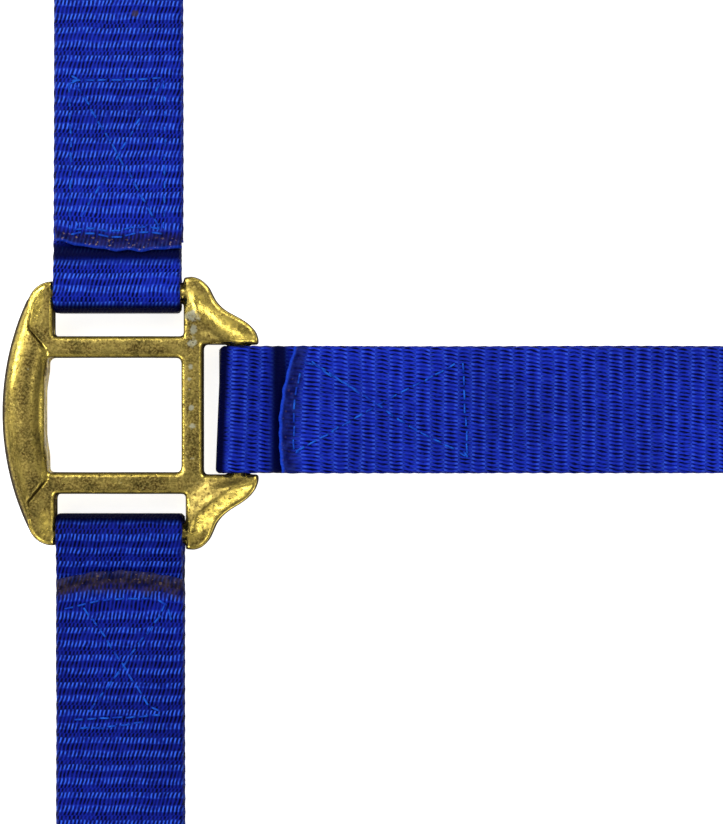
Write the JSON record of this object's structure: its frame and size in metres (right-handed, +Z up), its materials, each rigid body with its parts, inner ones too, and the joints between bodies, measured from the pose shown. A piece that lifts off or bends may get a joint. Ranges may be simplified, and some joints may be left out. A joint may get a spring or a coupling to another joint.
{
  "type": "head halter",
  "caption": "Webbing head halter, folded flat and unfastened: doubled straps sewn round cast squares and a chin ring, with a buckled crown, a buckled chin and a throat snap.",
  "frame": {"origin": "middle of the folded halter's underside, on the surface that it lies on", "axes": "+Z up from the off side to the near side, +X from the muzzle to the poll, +Y from the chin to the nose"},
  "size_m": [0.513, 0.4976, 0.0218],
  "materials": {
    "webbing": "ribbed woven nylon",
    "brass": "cast, tarnished",
    "spring_steel": "drawn wire"
  },
  "bodies": {
    "halter": {"off_halter_square": "brass", "off_cheek_square": "brass", "nose_strap_outer": "webbing", "nose_strap_inner": "webbing", "off_chin_outer": "webbing", "off_chin_inner": "webbing", "off_cheek_outer": "webbing", "off_cheek_inner": "webbing", "crown_strap_outer": "webbing", "crown_strap_inner": "webbing", "crown_eyelets": "brass", "throat_strap_outer": "webbing", "throat_strap_inner": "webbing", "jaw_strap_outer": "webbing", "jaw_strap_inner": "webbing", "chin_ring": "brass"},
    "near_square": {"near_halter_square": "brass"},
    "near_chin": {"near_chin_outer": "webbing", "near_chin_inner": "webbing", "chin_keeper": "webbing"},
    "chin_buckle": {"chin_buckle_frame": "brass"},
    "chin_tongue": {"chin_buckle_tongue": "brass"},
    "chin_roller": {"chin_buckle_roller": "brass"},
    "near_cheek": {"near_cheek_outer": "webbing", "near_cheek_inner": "webbing"},
    "near_upper_square": {"near_cheek_square": "brass"},
    "crown_tab": {"crown_tab_outer": "webbing", "crown_tab_inner": "webbing", "crown_keeper": "webbing"},
    "crown_buckle": {"crown_buckle_frame": "brass"},
    "crown_tongue": {"crown_buckle_tongue": "brass"},
    "crown_roller": {"crown_buckle_roller": "brass"},
    "chin_billet": {"chin_billet_outer": "webbing", "chin_billet_inner": "webbing", "chin_eyelets": "brass"},
    "snap_eye": {"snap_swivel_eye": "brass"},
    "snap": {"snap_body": "brass", "snap_spring": "spring_steel"},
    "snap_bolt": {"snap_bolt": "brass"}
  },
  "joints": [
    {"name": "near_square_fold", "type": "hinge", "parent": "halter", "child": "near_square", "pos_m": [-0.23315, 0.1161, 0.01335], "axis": [-1, 0, 0], "range_deg": [0, 90]},
    {"name": "near_chin_fold", "type": "hinge", "parent": "near_square", "child": "near_chin", "pos_m": [-0.23275, 0.068, 0.01335], "axis": [-1, 0, 0], "range_deg": [0, 90]},
    {"name": "chin_buckle_fold", "type": "hinge", "parent": "near_chin", "child": "chin_buckle", "pos_m": [-0.23275, -0.022, 0.01335], "axis": [-1, 0, 0], "range_deg": [0, 45]},
    {"name": "chin_tongue_swing", "type": "hinge", "parent": "chin_buckle", "child": "chin_tongue", "pos_m": [-0.23275, -0.022, 0.01335], "axis": [-1, 0, 0], "range_deg": [0, 70]},
    {"name": "chin_roller_spin", "type": "hinge", "parent": "chin_buckle", "child": "chin_roller", "pos_m": [-0.23275, -0.046, 0.01335], "axis": [-1, 0, 0], "continuous": true},
    {"name": "near_cheek_fold", "type": "hinge", "parent": "near_square", "child": "near_cheek", "pos_m": [-0.2093, 0.0928, 0.01335], "axis": [0, -1, 0], "range_deg": [0, 90]},
    {"name": "upper_square_fold", "type": "hinge", "parent": "near_cheek", "child": "near_upper_square", "pos_m": [-0.0443, 0.0928, 0.01335], "axis": [0, -1, 0], "range_deg": [0, 90]},
    {"name": "crown_tab_fold", "type": "hinge", "parent": "near_upper_square", "child": "crown_tab", "pos_m": [0.0038, 0.0932, 0.01335], "axis": [0, -1, 0], "range_deg": [0, 75]},
    {"name": "crown_buckle_fold", "type": "hinge", "parent": "crown_tab", "child": "crown_buckle", "pos_m": [0.0658, 0.0932, 0.01335], "axis": [0, -1, 0], "range_deg": [0, 45]},
    {"name": "crown_tongue_swing", "type": "hinge", "parent": "crown_buckle", "child": "crown_tongue", "pos_m": [0.0658, 0.0932, 0.01335], "axis": [0, -1, 0], "range_deg": [0, 70]},
    {"name": "crown_roller_spin", "type": "hinge", "parent": "crown_buckle", "child": "crown_roller", "pos_m": [0.0898, 0.0932, 0.01335], "axis": [0, -1, 0], "continuous": true},
    {"name": "chin_billet_fold", "type": "hinge", "parent": "halter", "child": "chin_billet", "pos_m": [-0.23275, -0.0955, 0.00455], "axis": [-1, 0, 0], "range_deg": [0, 90]},
    {"name": "snap_fold", "type": "hinge", "parent": "halter", "child": "snap_eye", "pos_m": [-0.0195, -0.17565, 0.00455], "axis": [-1, 0, 0], "range_deg": [0, 90]},
    {"name": "snap_swivel", "type": "hinge", "parent": "snap_eye", "child": "snap", "pos_m": [-0.0195, -0.18565, 0.00455], "axis": [0, 1, 0], "continuous": true},
    {"name": "snap_bolt_slide", "type": "slide", "parent": "snap", "child": "snap_bolt", "axis": [0, 1, 0], "range_m": [0, 0.009], "stiffness_N_per_m": 250, "springref_m": -0.01}
  ]
}
